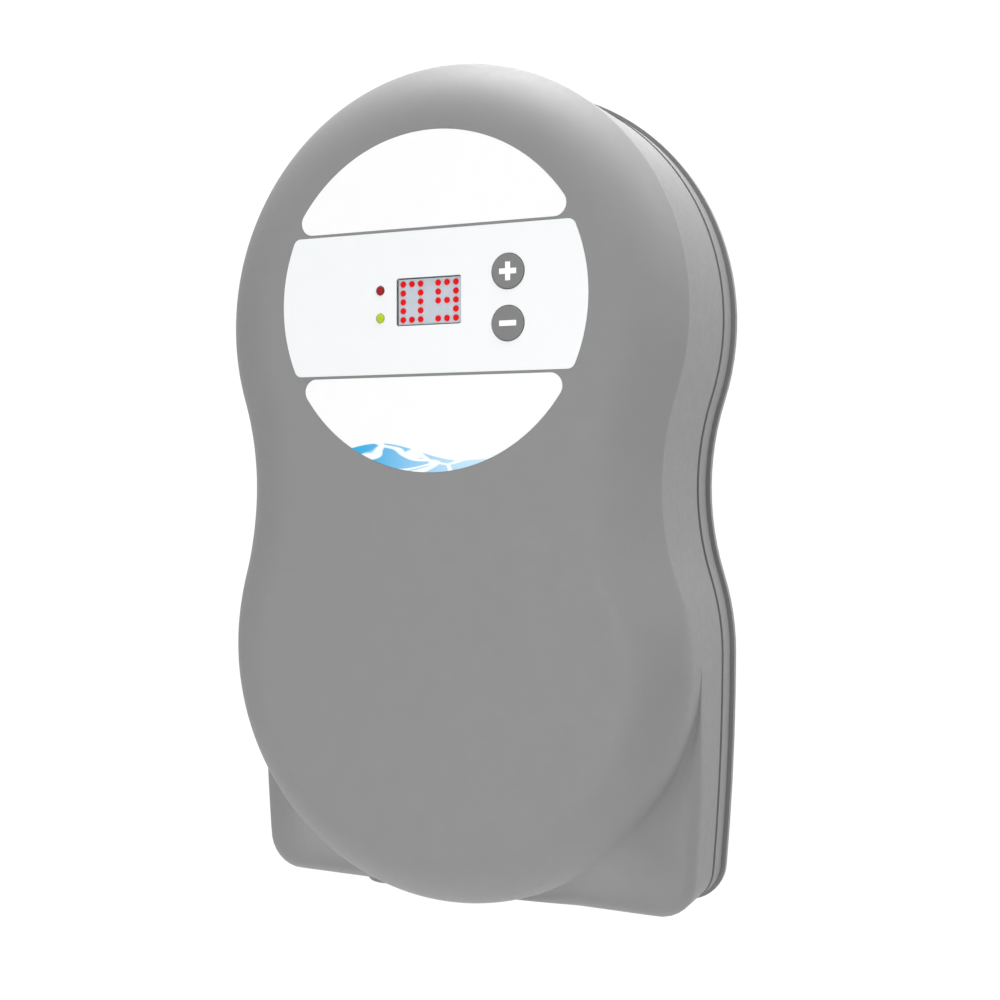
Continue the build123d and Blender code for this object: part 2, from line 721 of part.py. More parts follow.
with BuildPart() as capacitors:
    with Locations(at(POWER_BOARD_FRONT)):
        with Locations(*CAPACITOR_PLACES):
            Cylinder(CAPACITOR_R, CAPACITOR_LENGTH, align=BASE)
    fillet(capacitors.faces().group_by(Axis.Y)[0].edges(), RELAY_EDGE_R)
save(capacitors, "capacitors")

with BuildPart() as rectifier:
    with Locations(at(POWER_BOARD_FRONT)):
        with Locations(RECTIFIER_PLACE):
            Box(*RECTIFIER_SIZE, align=BASE)
    fillet(rectifier.edges().filter_by(Axis.Y), RELAY_EDGE_R)
save(rectifier, "rectifier")

with BuildPart() as heat_sink:
    with Locations(at(POWER_BOARD_FRONT + RECTIFIER_SIZE[2])):
        with Locations(RECTIFIER_PLACE):
            Box(*SINK_SIZE, align=BASE)
            with GridLocations((SINK_SIZE[0] - FIN_THICK) / (FIN_COUNT - 1), 0, FIN_COUNT, 1):
                Box(FIN_THICK, SINK_SIZE[1], SINK_SIZE[2] + FIN_HEIGHT, align=BASE)
save(heat_sink, "heat_sink")

with BuildPart() as terminal_block:
    with Locations(at(POWER_BOARD_FRONT)):
        with Locations((0, TERMINAL_Z)):
            Box(*TERMINAL_SIZE, align=BASE)
    with Locations(at(POWER_BOARD_FRONT + TERMINAL_SIZE[2])):
        with Locations((0, TERMINAL_Z)):
            with GridLocations(TERMINAL_SIZE[0] / TERMINAL_WAYS, 0, TERMINAL_WAYS, 1):
                Cylinder(TERMINAL_SCREW_R, TERMINAL_SCREW_DEPTH, align=TOP, mode=Mode.SUBTRACT)
save(terminal_block, "terminal_block")

# ---- toroidal transformer in the lower lobe ----
with BuildPart() as transformer:
    with Locations(at(CORE_BACK)):
        with Locations((0, CORE_Z)):
            Cylinder(CORE_R, CORE_FRONT - CORE_BACK, align=BASE)
            Cylinder(CORE_HOLE_R, CORE_FRONT - CORE_BACK, align=BASE, mode=Mode.SUBTRACT)
    fillet(transformer.edges().filter_by(GeomType.CIRCLE).group_by(SortBy.RADIUS)[-1], CORE_EDGE_R)
save(transformer, "transformer")

with BuildPart() as transformer_pads:
    for back, front in ((PANEL_FRONT, CORE_BACK), (CORE_FRONT, CORE_FRONT + CORE_BACK - PANEL_FRONT)):
        with BuildSketch(at(back)):
            with Locations((0, CORE_Z)):
                Circle(PAD_R)
                Circle(CORE_HOLE_R, mode=Mode.SUBTRACT)
        extrude(amount=front - back)
save(transformer_pads, "transformer_pads")

WASHER_BACK = CORE_FRONT + CORE_BACK - PANEL_FRONT
with BuildPart() as dished_washer:
    with BuildSketch(Plane.YZ):
        with BuildLine():
            Polyline(
                (-WASHER_BACK + WASHER_DISH, CORE_Z + BOLT_R + FIT),
                (-WASHER_BACK + WASHER_DISH, CORE_Z + CORE_HOLE_R / 2),
                (-WASHER_BACK, CORE_Z + CORE_HOLE_R),
                (-WASHER_BACK, CORE_Z + WASHER_R),
                (-WASHER_BACK - WASHER_THICK, CORE_Z + WASHER_R),
                (-WASHER_BACK - WASHER_THICK, CORE_Z + CORE_HOLE_R),
                (-WASHER_BACK + WASHER_DISH - WASHER_THICK, CORE_Z + CORE_HOLE_R / 2),
                (-WASHER_BACK + WASHER_DISH - WASHER_THICK, CORE_Z + BOLT_R + FIT),
                close=True,
            )
        make_face()
    revolve(axis=Axis((0, 0, CORE_Z), (0, 1, 0)))
save(dished_washer, "dished_washer")

with BuildPart() as transformer_bolt:
    with Locations(at(PANEL_BACK)):
        with Locations((0, CORE_Z)):
            countersunk_screw(BOLT_HEAD_R - FIT, BOLT_R, BOLT_TIP - PANEL_BACK)
save(transformer_bolt, "transformer_bolt")

with BuildPart() as transformer_nut:
    with BuildSketch(at(WASHER_BACK - WASHER_DISH + WASHER_THICK)):
        with Locations((0, CORE_Z)):
            RegularPolygon(BOLT_HEAD_R, 6)
            Circle(BOLT_R + SCREW_FIT, mode=Mode.SUBTRACT)
    extrude(amount=NUT_THICK)
save(transformer_nut, "transformer_nut")

with BuildPart() as transformer_leads:
    for count in range(LEAD_COUNT):
        x = LEAD_PITCH * (count - (LEAD_COUNT - 1) / 2)
        root_z = CORE_Z + CORE_R * cos(asin((abs(x) - LEAD_R) / CORE_R))
        with BuildLine():
            FilletPolyline(
                (x, -LEAD_ROOT_FRONT, root_z),
                (x, -LEAD_ROOT_FRONT, root_z + LEAD_RUN),
                (x, -LEAD_END_FRONT, TERMINAL_Z - TERMINAL_SIZE[1] / 2 - LEAD_RUN),
                (x, -LEAD_END_FRONT, TERMINAL_Z - TERMINAL_SIZE[1] / 2),
                radius=LEAD_BEND_R,
            )
        with BuildSketch(Plane((x, -LEAD_ROOT_FRONT, root_z), z_dir=(0, 0, 1))):
            Circle(LEAD_R)
        sweep()
save(transformer_leads, "transformer_leads")

# ---- connector plate, let into the underside and screwed to the rear panel ----
BARREL_POINTS = [(FUSE_X, FITTING_Y), (SOCKET_X, FITTING_Y)]
GLAND_POINTS = [(MAINS_X, FITTING_Y), (CELL_X, FITTING_Y)]
PLATE_TOP = PLATE_UNDER + PLATE_THICK
SKIRT_END = FOOT_Z + COVER_INSET

with BuildPart() as connector_plate:
    with BuildSketch(level(PLATE_UNDER)):
        with Locations((0, -PANEL_FRONT)):
            Rectangle(2 * PLATE_HALF, PLATE_FRONT - PANEL_FRONT, align=(Align.CENTER, Align.MAX))
        with Locations(*GLAND_POINTS):
            Circle(GLAND_R + SCREW_FIT, mode=Mode.SUBTRACT)
        with Locations(*BARREL_POINTS):
            Circle(BARREL_R + SCREW_FIT, mode=Mode.SUBTRACT)
        with Locations((SWITCH_X, FITTING_Y)):
            Rectangle(*(side + 2 * SCREW_FIT for side in SWITCH_BODY), mode=Mode.SUBTRACT)
    extrude(amount=PLATE_THICK)
    # skirt on three sides, down to the casing's lower edge
    with BuildSketch(level(SKIRT_END)):
        with Locations((0, -PANEL_FRONT)):
            Rectangle(2 * PLATE_HALF, PLATE_FRONT - PANEL_FRONT, align=(Align.CENTER, Align.MAX))
            Rectangle(
                2 * (PLATE_HALF - PLATE_THICK),
                PLATE_FRONT - PANEL_FRONT - PLATE_THICK,
                align=(Align.CENTER, Align.MAX),
                mode=Mode.SUBTRACT,
            )
    extrude(amount=PLATE_UNDER - SKIRT_END)
    # tab behind, with the holes for its screws
    with BuildSketch(at(PANEL_FRONT)):
        with Locations((0, PLATE_TOP)):
            Rectangle(2 * PLATE_HALF, PLATE_TAB, align=(Align.CENTER, Align.MIN))
        with Locations(*PLATE_SCREW_POINTS):
            Circle(BOARD_SCREW_R + SCREW_FIT, mode=Mode.SUBTRACT)
    extrude(amount=PLATE_THICK)
save(connector_plate, "connector_plate")

with BuildPart() as connector_plate_screws:
    with Locations(at(PANEL_BACK)):
        with Locations(*PLATE_SCREW_POINTS):
            countersunk_screw(BOARD_HEAD_R - SCREW_FIT, BOARD_SCREW_R, PANEL_FRONT + PLATE_THICK - PANEL_BACK)
save(connector_plate_screws, "connector_plate_screws")


# ---- cable glands ----
def cable_gland(name, x):
    """A gland's body, its dome nut and its locknut, hung from the connector plate."""
    hex_end = PLATE_UNDER - GLAND_HEX_THICK
    with BuildPart() as body:
        with BuildSketch(level(hex_end)):
            with Locations((x, FITTING_Y)):
                RegularPolygon(GLAND_HEX_R, 6)
        extrude(amount=GLAND_HEX_THICK)
        with BuildSketch(level(PLATE_UNDER)):
            with Locations((x, FITTING_Y)):
                Circle(GLAND_R)
        extrude(amount=GLAND_TOP - PLATE_UNDER)
        with BuildSketch(level(hex_end - GLAND_NECK)):
            with Locations((x, FITTING_Y)):
                Circle(GLAND_NECK_R)
        extrude(amount=GLAND_NECK)
        with BuildSketch(level(hex_end - GLAND_NECK)):
            with Locations((x, FITTING_Y)):
                Circle(CABLE_R)
        extrude(amount=GLAND_TOP - hex_end + GLAND_NECK, mode=Mode.SUBTRACT)
    save(body, f"{name}_gland")
    with BuildPart() as dome:
        with BuildSketch(level(DOME_END)):
            with Locations((x, FITTING_Y)):
                Circle(DOME_R)
        extrude(amount=hex_end - FIT - DOME_END)
        fillet(dome.edges().group_by(Axis.Z)[0], DOME_EDGE_R)
        with BuildSketch(level(DOME_END + DOME_FLOOR)):
            with Locations((x, FITTING_Y)):
                Circle(GLAND_NECK_R + SCREW_FIT)
        extrude(amount=hex_end - DOME_END, mode=Mode.SUBTRACT)
        with BuildSketch(level(DOME_END)):
            with Locations((x, FITTING_Y)):
                Circle(CABLE_R + MOUTH_EXTRA)
        extrude(amount=DOME_FLOOR, mode=Mode.SUBTRACT)
        with BuildSketch(level(DOME_END + DOME_FLOOR)):
            with Locations((x, FITTING_Y)):
                with PolarLocations(DOME_R, FLUTE_COUNT):
                    Circle(FLUTE_R)
        extrude(amount=hex_end - DOME_END, mode=Mode.SUBTRACT)
    save(dome, f"{name}_gland_nut")
    with BuildPart() as locknut:
        with BuildSketch(level(PLATE_TOP)):
            with Locations((x, FITTING_Y)):
                RegularPolygon(GLAND_HEX_R, 6)
                Circle(GLAND_R + SCREW_FIT, mode=Mode.SUBTRACT)
        extrude(amount=LOCKNUT_THICK)
    save(locknut, f"{name}_gland_locknut")


cable_gland("mains", MAINS_X)
cable_gland("cell", CELL_X)

with BuildPart() as gland_seals:
    with BuildSketch(level(DOME_END + DOME_FLOOR)):
        with Locations(*GLAND_POINTS):
            Circle(GLAND_NECK_R - FIT)
            Circle(CABLE_R, mode=Mode.SUBTRACT)
    extrude(amount=SEAL_THICK)
save(gland_seals, "gland_seals")

# ---- mains switch ----
with BuildPart() as switch_housing:
    with BuildSketch(level(PLATE_UNDER)):
        with Locations((SWITCH_X, FITTING_Y)):
            Rectangle(*SWITCH_BODY)
    extrude(amount=SWITCH_TOP - PLATE_UNDER)
    with BuildSketch(level(PLATE_UNDER)):
        with Locations((SWITCH_X, FITTING_Y)):
            RectangleRounded(*SWITCH_BEZEL, WINDOW_CORNER_R)
    extrude(amount=-BEZEL_THICK)
    with BuildSketch(level(PLATE_UNDER - BEZEL_THICK)):
        with Locations((SWITCH_X, FITTING_Y)):
            Rectangle(*SWITCH_CAVITY)
    extrude(amount=SWITCH_CAVITY_TOP - PLATE_UNDER + BEZEL_THICK, mode=Mode.SUBTRACT)
    with BuildSketch(at(-FITTING_Y)):
        with Locations((SWITCH_X, PIVOT_Z)):
            Circle(PIVOT_R + PIVOT_CLEARANCE)
    extrude(amount=SWITCH_BODY[1], both=True, mode=Mode.SUBTRACT)
save(switch_housing, "switch_housing")

with BuildPart() as power_rocker:
    tilt = radians(ROCKER_TILT)
    rocker_plane = Plane((SWITCH_X, FITTING_Y, PIVOT_Z), x_dir=(cos(tilt), 0, sin(tilt)), z_dir=(0, -1, 0))
    with BuildSketch(rocker_plane):
        with BuildLine():
            Polyline((0, -ROCKER_WAIST), (ROCKER_HALF, -ROCKER_END), (ROCKER_HALF, ROCKER_BACK))
            Line((ROCKER_HALF, ROCKER_BACK), (0, ROCKER_BACK))
            mirror(about=Plane.YZ)
        make_face()
    extrude(amount=ROCKER_WIDTH / 2, both=True)
    with BuildSketch(rocker_plane):
        Circle(PIVOT_R)
    extrude(amount=SWITCH_BODY[1] / 2 - FIT, both=True)
save(power_rocker, "power_rocker")

# ---- fuse holder and flow sensor socket ----
with BuildPart() as fuse_holder:
    with BuildSketch(level(PLATE_UNDER)):
        with Locations((FUSE_X, FITTING_Y)):
            Circle(BARREL_R)
    extrude(amount=FUSE_TOP - PLATE_UNDER)
    with BuildSketch(level(PLATE_UNDER)):
        with Locations((FUSE_X, FITTING_Y)):
            Circle(BARREL_FLANGE_R)
    extrude(amount=-BEZEL_THICK)
    with BuildSketch(level(PLATE_UNDER - BEZEL_THICK)):
        with Locations((FUSE_X, FITTING_Y)):
            Circle(FUSE_BORE_R)
    extrude(amount=FUSE_TOP - LOCKNUT_THICK - PLATE_UNDER + BEZEL_THICK, mode=Mode.SUBTRACT)
save(fuse_holder, "fuse_holder")

CAP_TOP = PLATE_UNDER - BEZEL_THICK - HOOK_GAP
with BuildPart() as fuse_cap:
    with BuildSketch(level(FUSE_CAP_END)):
        with Locations((FUSE_X, FITTING_Y)):
            Circle(FUSE_CAP_R)
    extrude(amount=CAP_TOP - FUSE_CAP_END)
    fillet(fuse_cap.edges().group_by(Axis.Z)[0], RELAY_EDGE_R)
    with BuildSketch(level(CAP_TOP)):
        with Locations((FUSE_X, FITTING_Y)):
            Circle(FUSE_STEM_R)
    extrude(amount=PLATE_TOP - CAP_TOP)
    with BuildSketch(level(FUSE_CAP_END)):
        with Locations((FUSE_X, FITTING_Y)):
            Rectangle(COIN_SLOT[0], COIN_SLOT[1])
    extrude(amount=COIN_SLOT[2], mode=Mode.SUBTRACT)
    with BuildSketch(level(FUSE_CAP_END + RELAY_EDGE_R)):
        with Locations((FUSE_X, FITTING_Y)):
            with PolarLocations(FUSE_CAP_R, FLUTE_COUNT):
                Circle(CAP_FLUTE_R)
    extrude(amount=CAP_TOP - FUSE_CAP_END, mode=Mode.SUBTRACT)
save(fuse_cap, "fuse_cap")

with BuildPart() as fuse:
    with BuildSketch(level(PLATE_TOP)):
        with Locations((FUSE_X, FITTING_Y)):
            Circle(FUSE_R)
    extrude(amount=FUSE_LENGTH)
save(fuse, "fuse")

with BuildPart() as sensor_socket:
    with BuildSketch(level(SOCKET_END)):
        with Locations((SOCKET_X, FITTING_Y)):
            Circle(BARREL_R)
    extrude(amount=SOCKET_TOP - SOCKET_END)
    with BuildSketch(level(PLATE_UNDER)):
        with Locations((SOCKET_X, FITTING_Y)):
            Circle(BARREL_FLANGE_R)
    extrude(amount=-BEZEL_THICK)
    with BuildSketch(level(SOCKET_END)):
        with Locations((SOCKET_X, FITTING_Y)):
            Circle(CABLE_R)
    extrude(amount=SOCKET_DEPTH, mode=Mode.SUBTRACT)
save(sensor_socket, "sensor_socket")

with BuildPart() as barrel_nuts:
    with BuildSketch(level(PLATE_TOP)):
        with Locations(*BARREL_POINTS):
            RegularPolygon(BARREL_NUT_R, 6)
            Circle(BARREL_R + SCREW_FIT, mode=Mode.SUBTRACT)
    extrude(amount=BARREL_NUT_THICK)
save(barrel_nuts, "barrel_nuts")

# ---- wall plate, with two hooks that the rear panel hangs on, and the panel's rubber feet ----
with BuildPart() as wall_plate:
    with BuildSketch(at(0)):
        RectangleRounded(*HANGER_SIZE, HANGER_CORNER_R)
        with GridLocations(*WALL_SCREWS, 2, 2):
            Circle(WALL_SCREW_R, mode=Mode.SUBTRACT)
    extrude(amount=HANGER_THICK)
    hook_front = PANEL_FRONT + HOOK_GAP + HOOK_THICK
    with BuildSketch(at(HANGER_THICK)):
        with Locations((-HOOK_X, HOOK_Z), (HOOK_X, HOOK_Z)):
            Rectangle(HOOK_WIDTH, HOOK_THICK, align=(Align.CENTER, Align.MAX))
    extrude(amount=hook_front - HANGER_THICK)
    with BuildSketch(at(PANEL_FRONT + HOOK_GAP)):
        with Locations((-HOOK_X, HOOK_Z), (HOOK_X, HOOK_Z)):
            Rectangle(HOOK_WIDTH, HOOK_LIP, align=(Align.CENTER, Align.MIN))
    extrude(amount=HOOK_THICK)
save(wall_plate, "wall_plate")

with BuildPart() as wall_bumpers:
    with Locations(at(0)):
        with Locations(*BUMPER_PLACES):
            Cylinder(BUMPER_R, PANEL_BACK, align=BASE)
save(wall_bumpers, "wall_bumpers")
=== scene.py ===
"""Looks of a wall-mounted salt chlorine generator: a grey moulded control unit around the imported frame.

Lengths named here are in millimetres and places come from the frame's own boxes. X is to the right,
Y goes back into the wall and Z is up. Depth is measured back from the cover's flat face.
"""

import math

import bmesh
import bpy
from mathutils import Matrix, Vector


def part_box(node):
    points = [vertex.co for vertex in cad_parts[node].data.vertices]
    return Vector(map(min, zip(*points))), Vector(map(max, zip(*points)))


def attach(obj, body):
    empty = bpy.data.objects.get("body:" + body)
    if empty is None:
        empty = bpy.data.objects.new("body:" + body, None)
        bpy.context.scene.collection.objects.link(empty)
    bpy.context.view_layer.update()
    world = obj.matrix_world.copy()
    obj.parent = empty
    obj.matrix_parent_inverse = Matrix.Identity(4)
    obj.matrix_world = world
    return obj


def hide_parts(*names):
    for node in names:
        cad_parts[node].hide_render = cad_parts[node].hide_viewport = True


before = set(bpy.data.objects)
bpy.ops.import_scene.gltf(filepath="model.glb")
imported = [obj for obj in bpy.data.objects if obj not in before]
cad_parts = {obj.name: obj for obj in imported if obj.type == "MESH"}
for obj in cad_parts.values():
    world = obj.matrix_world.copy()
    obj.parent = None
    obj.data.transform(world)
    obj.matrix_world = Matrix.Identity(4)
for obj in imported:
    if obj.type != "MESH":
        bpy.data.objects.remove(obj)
bpy.context.view_layer.update()

MM = 0.001

# ---- the cover's outline and section -------------------------------------------------------------
COVER_LOW, COVER_HIGH = (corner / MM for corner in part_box("front_cover"))
LOBE_R = COVER_HIGH.x
LOBE_Z = COVER_HIGH.z - LOBE_R
WAIST_HALF = 81.2
WAIST_R = (WAIST_HALF**2 + LOBE_Z**2 - LOBE_R**2) / (2 * (LOBE_R - WAIST_HALF))
WAIST_ANGLE = math.atan2(LOBE_Z, WAIST_HALF + WAIST_R)
SIDE_R = 948.2  # gentle bow of the lower sides
CORNER_R = 13.2  # rounding of the two lower corners
DEPTH = COVER_HIGH.y - COVER_LOW.y
WALL = 3.0
UPPER_SHOULDER = (27.6, 23.6)  # its radius, and how far inside the side wall its arc begins
LOWER_SHOULDER = (20.4, 20.4)
SHOULDER_FADE = (-45.0, -10.0)  # the section turns from the lower to the upper one between these levels
FLANGE_DEPTH = 28.5  # flat front of the lower corners
FLANGE_EDGE_R = 5.0
EDGE_SHARE = 0.5  # the flange's edge takes at most this share of the flange
REAR_EDGE_R = 0.5
COVER_SHARP = 40.0  # degrees
SUPPORT = 0.7  # distance of the loops that hold a crease
WELD = 0.002  # points closer than this are joined

TOP_COLUMNS = 96
WAIST_COLUMNS = 28
SIDE_COLUMNS = 72
SHOULDER_ROWS = 22
FILLET_ROWS = 16
EDGE_ROWS = 7
WALL_ROWS = 6
REAR_ROWS = 3

# ---- openings in the cover -----------------------------------------------------------------------
CLEARANCE = 0.1  # all round a piece that sits in a pocket of the cover
ROUND_SIDES = 64
FACE_CUT = (COVER_LOW.y - 1, COVER_LOW.y + 2 * WALL)
KEY_HOLE_R = 6.35
LAMP_HOLE_R = 1.75
NOTCH_HALF = 56.15
NOTCH_TOP = -139.35
NOTCH_DEPTH = 33.85


def ray_to_circle(ray, centre, radius):
    """Distance along a ray from the origin to the far side of a circle."""
    along = ray.dot(centre)
    return along + math.sqrt(along**2 - centre.length_squared + radius**2)


def foot_reach(angle):
    """Distance from the lower lobe's centre to the footed outline, for an angle below the horizontal."""
    ray = Vector((math.cos(angle), math.sin(angle)))
    side_centre = Vector((LOBE_R - SIDE_R, 0.0))
    corner_z = CORNER_R - LOBE_R
    corner_x = side_centre.x + math.sqrt((SIDE_R - CORNER_R) ** 2 - corner_z**2)
    corner = Vector((corner_x, corner_z))
    touch_side = side_centre + (corner - side_centre).normalized() * SIDE_R
    if angle > math.atan2(touch_side.y, touch_side.x):
        return ray_to_circle(ray, side_centre, SIDE_R)
    if angle > math.atan2(-LOBE_R, corner_x):
        return ray_to_circle(ray, corner, CORNER_R)
    return LOBE_R / math.sin(-angle)


def smoothstep(low, high, value):
    """0 to 1 while a value goes from low to high, with soft ends."""
    share = min(max((value - low) / (high - low), 0.0), 1.0)
    return share * share * (3 - 2 * share)


def steps(count, first, last):
    """count + 1 evenly spaced values from first to last."""
    return [first + (last - first) * i / count for i in range(count + 1)]


def arc_columns(centre, radius, angles):
    """(point, outward normal) along an arc in X and Z; a negative radius bends inward, as at the waist."""
    normals = [Vector((math.cos(a), math.sin(a))) for a in angles]
    return [(centre + normal * radius, normal) for normal in normals]


def outline_columns():
    """The right half of the outline from top to bottom: (point, outward normal, foot gap)."""
    upper = Vector((0.0, LOBE_Z))
    lower = Vector((0.0, -LOBE_Z))
    waist = Vector((WAIST_HALF + WAIST_R, 0.0))
    half_turn = math.pi / 2
    plain = arc_columns(upper, LOBE_R, steps(TOP_COLUMNS, half_turn, -WAIST_ANGLE)[:-1])
    plain += arc_columns(waist, -WAIST_R, steps(WAIST_COLUMNS, -WAIST_ANGLE, WAIST_ANGLE)[:-1])
    plain += arc_columns(lower, LOBE_R, steps(WAIST_COLUMNS // 2, WAIST_ANGLE, 0.0)[:-1])
    footed = steps(SIDE_COLUMNS, 0.0, -half_turn)
    gaps = [0.0] + [foot_reach(angle) - LOBE_R for angle in footed[1:-1]] + [0.0]
    lobed = arc_columns(lower, LOBE_R, footed)
    columns = [(*column, None) for column in plain]
    return columns + [(*column, gap) for column, gap in zip(lobed, gaps)]


def shoulder_arc(radius, inward, wall, last_angle):
    """The rounded shoulder from the face outward: (offset from the side wall, depth)."""
    inner = radius - wall
    angles = steps(SHOULDER_ROWS, 0.0, last_angle)
    return [(inner * math.sin(a) - inward, radius - inner * math.cos(a)) for a in angles]


def rear_edge(side, wall):
    """The side wall's end with its small rounded edge, or straight past the end on the inside."""
    if wall:
        return [(side, DEPTH + SUPPORT * (i + 1)) for i in range(REAR_ROWS + 1)]
    return [
        (side - REAR_EDGE_R * (1 - math.cos(a)), DEPTH - REAR_EDGE_R * (1 - math.sin(a)))
        for a in steps(REAR_ROWS, 0.0, math.pi / 2)
    ]


def plain_section(level, wall):
    """Section of the upper lobe and the waist: shoulder, crease and side wall."""
    share = smoothstep(*SHOULDER_FADE, level)
    radius, inward = (low + (high - low) * share for low, high in zip(LOWER_SHOULDER, UPPER_SHOULDER))
    rows = shoulder_arc(radius, inward, wall, math.asin((inward - wall) / (radius - wall)))
    crease = rows[-1][1]
    count = FILLET_ROWS + EDGE_ROWS + WALL_ROWS
    rows += [(-wall, depth) for depth in steps(count, crease + SUPPORT, DEPTH - 2 * SUPPORT)]
    return rows + rear_edge(-wall, wall)


def run_out(gap, edge):
    """Radius of the hollow that fills the flange's width, and the angle where the shoulder ends on it."""
    radius = LOWER_SHOULDER[0]
    rise = FLANGE_DEPTH - radius
    if gap - edge < rise:
        return gap - edge, math.pi / 2
    reach = radius + gap - edge
    hollow = (reach**2 - radius**2 + rise**2) / (2 * (radius + rise))
    return hollow, math.atan2(reach, hollow - rise)


def footed_section(gap, wall):
    """Section of the lower lobe: shoulder, hollow run-out on to the flange, its soft edge and side wall."""
    edge = min(FLANGE_EDGE_R, EDGE_SHARE * gap)
    hollow, touch = run_out(gap, edge)
    side = gap - wall
    rows = shoulder_arc(*LOWER_SHOULDER, wall, touch)
    for a in steps(FILLET_ROWS, touch, 0.0):
        offset = gap - edge - (hollow + wall) * math.sin(a)
        depth = FLANGE_DEPTH - hollow + (hollow + wall) * math.cos(a)
        rows.append((min(offset, side), depth))
    bend = max(edge - wall, 0.0)
    for a in steps(EDGE_ROWS, 0.0, math.pi / 2)[1:]:
        offset = gap - edge + bend * math.sin(a)
        depth = FLANGE_DEPTH + edge - bend * math.cos(a)
        rows.append((min(offset, side), max(depth, FLANGE_DEPTH + wall)))
    rows += [(side, depth) for depth in steps(WALL_ROWS, rows[-1][1], DEPTH - 2 * SUPPORT)[1:]]
    return rows + rear_edge(side, wall)


def section_at(point, gap, wall):
    """One column's section, from a loop just inside the face to the rear edge."""
    section = plain_section(point.y, wall) if gap is None else footed_section(gap, wall)
    return [(section[0][0] - SUPPORT, section[0][1])] + section


def add_ring(bm, points):
    """Vertices at a list of points in millimetres."""
    return [bm.verts.new(Vector(point) * MM) for point in points]


def bridge(bm, outer, inner):
    """Quads between two rings of the same length."""
    count = len(outer)
    for i in range(count):
        j = (i + 1) % count
        bm.faces.new((outer[i], outer[j], inner[j], inner[i]))


def cover_solid(wall):
    """The cover's outer body as a closed solid, or with a wall the space inside it."""
    right = [(point, normal, section_at(point, gap, wall)) for point, normal, gap in outline_columns()]
    flip = Vector((-1.0, 1.0))
    left = [(point * flip, normal * flip, section) for point, normal, section in right[-2:0:-1]]
    bm = bmesh.new()
    rings = []
    for row in range(len(right[0][2])):
        ring = []
        for point, normal, section in right + left:
            offset, depth = section[row]
            place = point + normal * offset
            ring.append((place.x, COVER_LOW.y + depth, place.y))
        rings.append(add_ring(bm, ring))
    for outer, inner in zip(rings, rings[1:]):
        bridge(bm, outer, inner)
    bm.faces.new(rings[0])
    bm.faces.new(rings[-1])
    bmesh.ops.remove_doubles(bm, verts=bm.verts, dist=WELD * MM)
    bmesh.ops.recalc_face_normals(bm, faces=bm.faces)
    return bm


def new_object(name, bm):
    mesh = bpy.data.meshes.new(name)
    bm.to_mesh(mesh)
    bm.free()
    obj = bpy.data.objects.new(name, mesh)
    bpy.context.scene.collection.objects.link(obj)
    return obj


def prism(ring, front, back):
    """A closed prism on a ring of (x, z) points, between two Y places."""
    bm = bmesh.new()
    near = add_ring(bm, [(x, front, z) for x, z in ring])
    far = add_ring(bm, [(x, back, z) for x, z in ring])
    bridge(bm, near, far)
    bm.faces.new(near)
    bm.faces.new(far)
    bmesh.ops.recalc_face_normals(bm, faces=bm.faces)
    return bm


def centre_of(node):
    low, high = (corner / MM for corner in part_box(node))
    return (low + high) / 2


def round_cutter(node, radius):
    """A cylinder through the cover's face, on the middle of a round node."""
    middle = centre_of(node)
    turns = steps(ROUND_SIDES, 0.0, 2 * math.pi)[:-1]
    ring = [(middle.x + radius * math.cos(a), middle.z + radius * math.sin(a)) for a in turns]
    return prism(ring, *FACE_CUT)


def box_cutter(x_range, z_range, y_range):
    """A box between pairs of places."""
    ring = [(x_range[i], z_range[j]) for i, j in ((0, 0), (1, 0), (1, 1), (0, 1))]
    return prism(ring, *y_range)


def pocket_cutter(node):
    """A node's own shape, a little larger all round and open to the front."""
    low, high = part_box(node)
    centre = (low + high) / 2
    half = (high - low) / 2
    spread = Vector((1 + CLEARANCE * MM / half.x, 1.0, 1 + CLEARANCE * MM / half.z))
    bm = bmesh.new()
    bm.from_mesh(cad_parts[node].data)
    bmesh.ops.remove_doubles(bm, verts=bm.verts, dist=WELD * MM)
    for vert in bm.verts:
        away = vert.co - centre
        front = vert.co.y < centre.y
        vert.co = centre + Vector((away.x * spread.x, away.y, away.z * spread.z))
        vert.co.y = low.y - MM if front else high.y
    bmesh.ops.recalc_face_normals(bm, faces=bm.faces)
    return bm


def cut(obj, cutter_meshes):
    """Takes the cutters out of an object's mesh, one after another."""
    for i, bm in enumerate(cutter_meshes):
        cutter = new_object(f"cutter_{i}", bm)
        modifier = obj.modifiers.new("cut", "BOOLEAN")
        modifier.operation = "DIFFERENCE"
        modifier.solver = "EXACT"
        modifier.object = cutter
        graph = bpy.context.evaluated_depsgraph_get()
        result = bpy.data.meshes.new_from_object(obj.evaluated_get(graph))
        obj.modifiers.clear()
        obj.data = result
        bpy.data.objects.remove(cutter)


def smooth(obj, sharp_angle):
    """Smooth shading with the edges sharper than an angle in degrees kept sharp."""
    obj.data.polygons.foreach_set("use_smooth", [True] * len(obj.data.polygons))
    obj.data.set_sharp_from_angle(angle=math.radians(sharp_angle))


